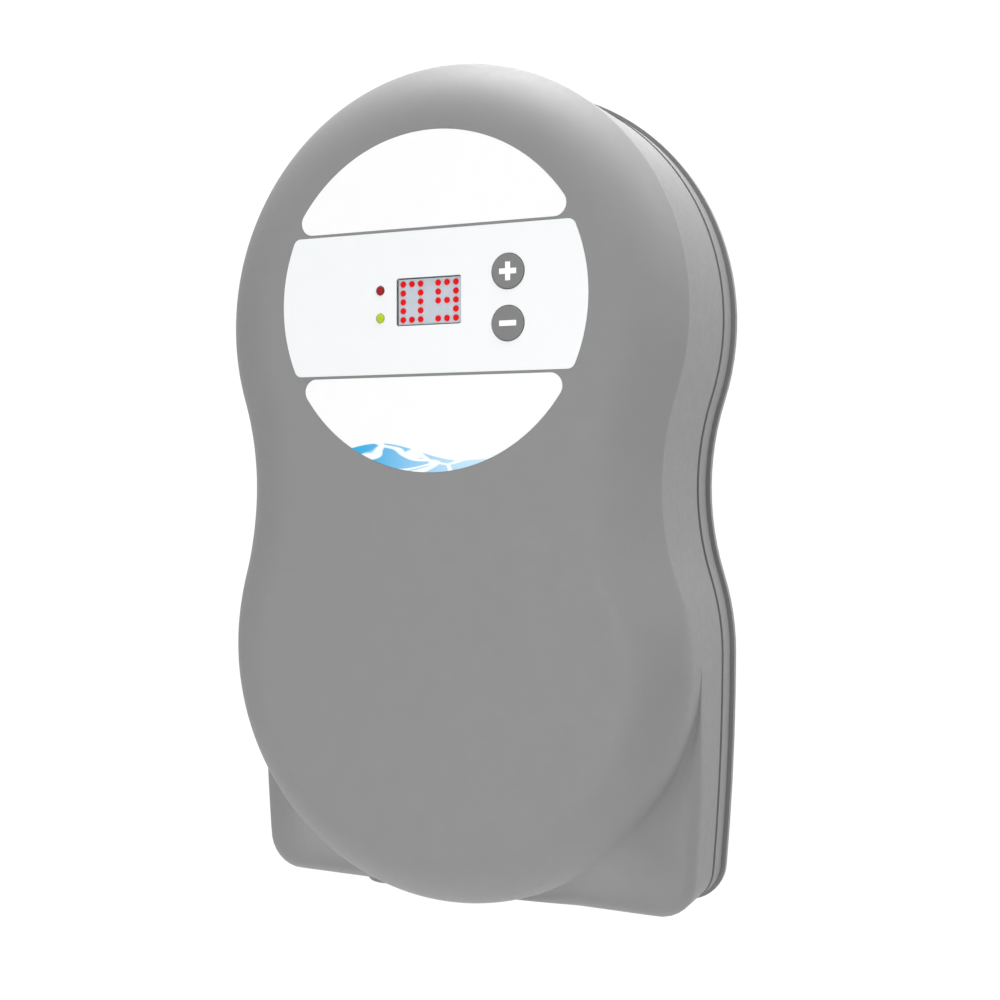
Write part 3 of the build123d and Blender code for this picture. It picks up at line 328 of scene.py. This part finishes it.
def front_cover():
    """The cover as one closed shell, with its label pockets and openings."""
    cover = new_object("cover_shell", cover_solid(0.0))
    low, high = (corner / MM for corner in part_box("display_window"))
    window_x = (low.x - CLEARANCE, high.x + CLEARANCE)
    window_z = (low.z - CLEARANCE, high.z + CLEARANCE)
    notch_y = (COVER_LOW.y + NOTCH_DEPTH, COVER_HIGH.y + WALL)
    notch_z = (COVER_LOW.z - WALL, NOTCH_TOP)
    cutters = [cover_solid(WALL)]
    cutters += [pocket_cutter(node) for node in ("top_label", "keypad_overlay", "bottom_label")]
    cutters += [round_cutter(node, KEY_HOLE_R) for node in ("plus_key", "minus_key")]
    cutters += [round_cutter(node, LAMP_HOLE_R) for node in ("red_lamp", "green_lamp")]
    cutters += [box_cutter(window_x, window_z, FACE_CUT)]
    cutters += [box_cutter((-NOTCH_HALF, NOTCH_HALF), notch_z, notch_y)]
    cut(cover, cutters)
    smooth(cover, COVER_SHARP)
    return cover


# ---- finishes ------------------------------------------------------------------------------------
NOISE_RANGE = (0.3, 0.7)  # where most of a noise's values lie

# the printed band of water along the foot of the lower label
RIPPLE_LENGTH = 66.0  # from crest to crest of its wavy edge
RIPPLE_SWING = 3.1
RIPPLE_LEVEL = 12.9  # height of the edge's middle above the frame's origin
RIPPLE_SOFTNESS = 0.4
CREST_X = -20.0
RIPPLE_FADE = (-34.0, 26.0)  # the blue turns pale between these places
RIPPLE_DEEP = "00a6e0"
RIPPLE_PALE = "c3e4f6"
VEIN_WHITE = "f4fafd"
VEIN_LENGTH = 16.0
VEIN_HEIGHT = 6.0
VEIN_EDGE = (0.1, 0.05)  # distance from a cell's border where a vein fades in, as a share of a cell


def shade(hex_colour):
    """A colour written as on screen, as linear values."""
    parts = [int(hex_colour[i : i + 2], 16) / 255 for i in (0, 2, 4)]
    return [c / 12.92 if c <= 0.04045 else ((c + 0.055) / 1.055) ** 2.4 for c in parts] + [1.0]


def noise(tree, grain, detail=2.0):
    """A noise whose features are about grain millimetres across, in the object's own space."""
    place = tree.nodes.new("ShaderNodeTexCoord")
    pattern = tree.nodes.new("ShaderNodeTexNoise")
    pattern.inputs["Scale"].default_value = 1 / (grain * MM)
    pattern.inputs["Detail"].default_value = detail
    tree.links.new(place.outputs["Object"], pattern.inputs["Vector"])
    return pattern.outputs["Fac"]


def spread(tree, value, low, high):
    """Maps a noise, which keeps near its middle, to the range from low to high."""
    rescale = tree.nodes.new("ShaderNodeMapRange")
    rescale.inputs["From Min"].default_value = NOISE_RANGE[0]
    rescale.inputs["From Max"].default_value = NOISE_RANGE[1]
    rescale.inputs["To Min"].default_value = low
    rescale.inputs["To Max"].default_value = high
    tree.links.new(value, rescale.inputs["Value"])
    return rescale.outputs["Result"]


def mixed(tree, factor, first, second):
    """A colour between two, each a list of linear values or another node's output."""
    mix = tree.nodes.new("ShaderNodeMix")
    mix.data_type = "RGBA"
    tree.links.new(factor, mix.inputs["Factor"])
    for socket, colour in ((mix.inputs[6], first), (mix.inputs[7], second)):
        if isinstance(colour, list):
            socket.default_value = colour
        else:
            tree.links.new(colour, socket)
    return mix.outputs[2]


def finish(
    name,
    colour,
    roughness,
    mottle=0.03,
    mottle_size=9.0,
    grain=0.4,
    relief=0.01,
    roughness_range=0.05,
    metallic=0.0,
    specular=0.5,
    **sockets,
):
    """A moulded, printed or metal surface: slight mottling, uneven roughness and a fine grain."""
    material = bpy.data.materials.new(name)
    material.use_nodes = True
    tree = material.node_tree
    shader = tree.nodes["Principled BSDF"]
    base = shade(colour)
    dark = [c * (1 - mottle) for c in base[:3]] + [1.0]
    light = [min(c * (1 + mottle), 1.0) for c in base[:3]] + [1.0]
    tone = mixed(tree, spread(tree, noise(tree, mottle_size), 0.0, 1.0), dark, light)
    tree.links.new(tone, shader.inputs["Base Color"])
    rough_low = max(roughness - roughness_range, 0.02)
    rough = spread(tree, noise(tree, mottle_size / 3), rough_low, roughness + roughness_range)
    tree.links.new(rough, shader.inputs["Roughness"])
    bump = tree.nodes.new("ShaderNodeBump")
    bump.inputs["Distance"].default_value = relief * MM
    tree.links.new(noise(tree, grain, 3.0), bump.inputs["Height"])
    tree.links.new(bump.outputs["Normal"], shader.inputs["Normal"])
    shader.inputs["Metallic"].default_value = metallic
    shader.inputs["Specular IOR Level"].default_value = specular
    for socket, value in sockets.items():
        shader.inputs[socket.replace("_", " ")].default_value = value
    return material


def maths(tree, operation, *values):
    """A value worked out from numbers or other nodes' outputs."""
    node = tree.nodes.new("ShaderNodeMath")
    node.operation = operation
    for socket, value in zip(node.inputs, values):
        if isinstance(value, float):
            socket.default_value = value
        else:
            tree.links.new(value, socket)
    return node.outputs["Value"]


def ramp(tree, value, start, end):
    """0 to 1 while a value goes from start to end, with soft ends."""
    node = tree.nodes.new("ShaderNodeMapRange")
    node.interpolation_type = "SMOOTHSTEP"
    node.inputs["From Min"].default_value = start
    node.inputs["From Max"].default_value = end
    tree.links.new(value, node.inputs["Value"])
    return node.outputs["Result"]


def veins(tree, place):
    """A net of curved light veins, as on moving water."""
    stretch = tree.nodes.new("ShaderNodeMapping")
    stretch.inputs["Scale"].default_value = (1 / (VEIN_LENGTH * MM), 1.0, 1 / (VEIN_HEIGHT * MM))
    tree.links.new(place, stretch.inputs["Vector"])
    warp = tree.nodes.new("ShaderNodeTexNoise")
    warp.inputs["Scale"].default_value = 1.0
    warp.inputs["Detail"].default_value = 0.0
    tree.links.new(stretch.outputs["Vector"], warp.inputs["Vector"])
    bend = tree.nodes.new("ShaderNodeVectorMath")
    bend.operation = "ADD"
    tree.links.new(stretch.outputs["Vector"], bend.inputs[0])
    tree.links.new(warp.outputs["Color"], bend.inputs[1])
    cells = tree.nodes.new("ShaderNodeTexVoronoi")
    cells.feature = "DISTANCE_TO_EDGE"
    cells.inputs["Scale"].default_value = 1.0
    tree.links.new(bend.outputs["Vector"], cells.inputs["Vector"])
    return ramp(tree, cells.outputs["Distance"], *VEIN_EDGE)


def printed_ripple(material):
    """Adds a band of blue ripples along the foot of the lower label, under a wavy edge."""
    tree = material.node_tree
    paint = tree.nodes["Principled BSDF"].inputs["Base Color"]
    place = tree.nodes.new("ShaderNodeTexCoord").outputs["Object"]
    parts = tree.nodes.new("ShaderNodeSeparateXYZ")
    tree.links.new(place, parts.inputs["Vector"])
    radians_per_metre = 2 * math.pi / (RIPPLE_LENGTH * MM)
    shift = -radians_per_metre * CREST_X * MM
    phase = maths(tree, "MULTIPLY_ADD", parts.outputs["X"], radians_per_metre, shift)
    wave = maths(tree, "COSINE", phase)
    edge = maths(tree, "MULTIPLY_ADD", wave, RIPPLE_SWING * MM, RIPPLE_LEVEL * MM)
    band = ramp(tree, maths(tree, "SUBTRACT", edge, parts.outputs["Z"]), 0.0, RIPPLE_SOFTNESS * MM)
    across = ramp(tree, parts.outputs["X"], RIPPLE_FADE[0] * MM, RIPPLE_FADE[1] * MM)
    water = mixed(tree, across, shade(RIPPLE_DEEP), shade(RIPPLE_PALE))
    water = mixed(tree, veins(tree, place), water, shade(VEIN_WHITE))
    blank = paint.links[0].from_socket
    tree.links.new(mixed(tree, band, blank, water), paint)



FINISHES = {
    "casing_grey": finish("casing_grey", "868686", 0.55, mottle=0.012, grain=0.35, relief=0.012),
    "gasket_rubber": finish("gasket_rubber", "2b2c2d", 0.8, grain=0.5, relief=0.03),
    "steel_zinc": finish("steel_zinc", "b9bcc0", 0.32, metallic=1.0, grain=0.3, relief=0.006),
    "label_white": finish("label_white", "f6f6f6", 0.4, mottle=0.004, relief=0.002),
    "overlay_white": finish("overlay_white", "eff1f2", 0.33, mottle=0.004, relief=0.002),
    "key_grey": finish("key_grey", "787878", 0.5, mottle=0.02, grain=0.3, relief=0.01),
    "mark_white": finish("mark_white", "fbfbfb", 0.4, mottle=0.01, relief=0.004),
    "window_clear": finish("window_clear", "ffffff", 0.04, roughness_range=0.01, relief=0.001,
                           mottle=0.0, IOR=1.2, Transmission_Weight=1.0, Alpha=0.15),
    "display_face": finish("display_face", "c2cad4", 0.5, mottle=0.02, mottle_size=2.0),
    "dot_red": finish("dot_red", "c80810", 0.4, mottle=0.04, mottle_size=0.6, specular=0.1,
                      Emission_Color=shade("e80a12"), Emission_Strength=0.25),
    "lamp_red": finish("lamp_red", "981014", 0.4, mottle=0.05, mottle_size=1.0, specular=0.25),
    "lamp_green": finish("lamp_green", "b0ca1c", 0.4, mottle=0.05, mottle_size=1.0, specular=0.25),
    "board_green": finish("board_green", "1f5a38", 0.42, mottle=0.12, mottle_size=3.0, relief=0.02),
    "black_plastic": finish("black_plastic", "1c1d1f", 0.45, mottle=0.08, grain=0.3, relief=0.012),
    "ribbon_grey": finish("ribbon_grey", "9b9da0", 0.5, mottle=0.05, grain=1.2, relief=0.05),
    "brass": finish("brass", "c9a24c", 0.28, metallic=1.0, relief=0.006),
    "relay_blue": finish("relay_blue", "24528f", 0.4, mottle=0.05, relief=0.01),
    "capacitor_black": finish("capacitor_black", "20222a", 0.3, mottle=0.08, relief=0.008),
    "sink_aluminium": finish("sink_aluminium", "a7aaad", 0.38, metallic=1.0, grain=0.6, relief=0.01),
    "terminal_green": finish("terminal_green", "2f8a4e", 0.45, mottle=0.05, relief=0.01),
    "winding_tape": finish("winding_tape", "c8b24a", 0.35, mottle=0.1, mottle_size=4.0, grain=2.5,
                           relief=0.15),
    "pad_rubber": finish("pad_rubber", "2a2a2b", 0.75, grain=0.6, relief=0.03),
    "wire_blue": finish("wire_blue", "2b4f9a", 0.4, mottle=0.05, relief=0.008),
    "gland_grey": finish("gland_grey", "6f7173", 0.5, mottle=0.03, grain=0.3, relief=0.015),
    "fuse_glass": finish("fuse_glass", "e8eef0", 0.05, roughness_range=0.01, mottle=0.0,
                         relief=0.001, Transmission_Weight=0.9),
    "bracket_steel": finish("bracket_steel", "b2b5b8", 0.4, metallic=1.0, mottle=0.08, relief=0.008),
}


def dress_frame():
    """Gives each carried-over node the finish of its slot."""
    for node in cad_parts.values():
        for slot in node.material_slots:
            slot.material = FINISHES[slot.material.name.split(".")[0]]


# ---- stage ---------------------------------------------------------------------------------------
CAMERA_PLACE = Vector((0.2355, -0.516, 0.0061))
CAMERA_AIM = Vector((-0.4224, 0.9062, -0.0204))
LENS = 51.73
FLOOR_LEVEL = -0.42
FLOOR_X = (-3.0, 3.0)
FLOOR_Y = (-4.0, 0.3)
WHITE_LEVEL = 1.04  # of the sweep behind the object
ROOM_LEVEL = 0.5  # of the room in front of it
SWEEP_EDGE = (0.25, 0.55)  # how far back a direction points where the room turns into the sweep

# name: (place and size in metres, watts)
LIGHTS = {
    "overhead": ((0.0, -0.05, 0.65), 0.5, 4.9),
    "overhead_back": ((0.0, 0.4, 0.55), 0.5, 1.1),
    "overhead_right": ((0.5, -0.05, 0.5), 0.4, 1.85),
    "front": ((-0.2, -1.1, 0.0), 0.6, 2.75),
    "front_low": ((0.0, -0.75, -0.36), 0.4, 0.6),
}


def camera():
    """The scene's camera, in front of the object and to its right."""
    lens = bpy.data.cameras.new("camera")
    lens.sensor_width = 36.0
    lens.lens = LENS
    lens.clip_start = 0.01
    obj = bpy.data.objects.new("camera", lens)
    obj.location = CAMERA_PLACE
    obj.rotation_euler = CAMERA_AIM.to_track_quat("-Z", "Y").to_euler()
    bpy.context.scene.collection.objects.link(obj)
    bpy.context.scene.camera = obj


def soft_light(name, place, size, watts):
    """A round area light that faces the frame's origin."""
    lamp = bpy.data.lights.new(name, "AREA")
    lamp.shape = "DISK"
    lamp.size = size
    lamp.energy = watts
    obj = bpy.data.objects.new(name, lamp)
    obj.location = place
    obj.rotation_euler = (-Vector(place)).to_track_quat("-Z", "Y").to_euler()
    bpy.context.scene.collection.objects.link(obj)


def surround():
    """A plain room in front of the object that turns softly into a white sweep behind it."""
    world = bpy.data.worlds.new("studio")
    world.use_nodes = True
    tree = world.node_tree
    direction = tree.nodes.new("ShaderNodeTexCoord")
    parts = tree.nodes.new("ShaderNodeSeparateXYZ")
    level = tree.nodes.new("ShaderNodeMapRange")
    level.interpolation_type = "SMOOTHSTEP"
    level.inputs["From Min"].default_value = SWEEP_EDGE[0]
    level.inputs["From Max"].default_value = SWEEP_EDGE[1]
    level.inputs["To Min"].default_value = ROOM_LEVEL
    level.inputs["To Max"].default_value = WHITE_LEVEL
    tree.links.new(direction.outputs["Generated"], parts.inputs["Vector"])
    tree.links.new(parts.outputs["Y"], level.inputs["Value"])
    tree.links.new(level.outputs["Result"], tree.nodes["Background"].inputs["Strength"])
    tree.nodes["Background"].inputs["Color"].default_value = (1.0, 1.0, 1.0, 1.0)
    bpy.context.scene.world = world


def studio():
    """A plain pale floor under the object, its surround and soft lights."""
    surround()
    bm = bmesh.new()
    corners = [(x, y, FLOOR_LEVEL) for x, y in zip(FLOOR_X + FLOOR_X[::-1], sorted(FLOOR_Y * 2))]
    bm.faces.new([bm.verts.new(corner) for corner in corners])
    floor = new_object("floor", bm)
    floor.data.materials.append(finish("floor_paint", "f7f7f7", 0.7, mottle=0.004, mottle_size=200.0))
    for name, settings in LIGHTS.items():
        soft_light(name, *settings)
    bpy.context.scene.view_settings.view_transform = "Standard"


camera()
studio()
printed_ripple(FINISHES["label_white"])
dress_frame()
cover = front_cover()
cover.data.materials.clear()
cover.data.materials.append(FINISHES["casing_grey"])
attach(cover, "unit")
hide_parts("front_cover")

bpy.context.view_layer.update()
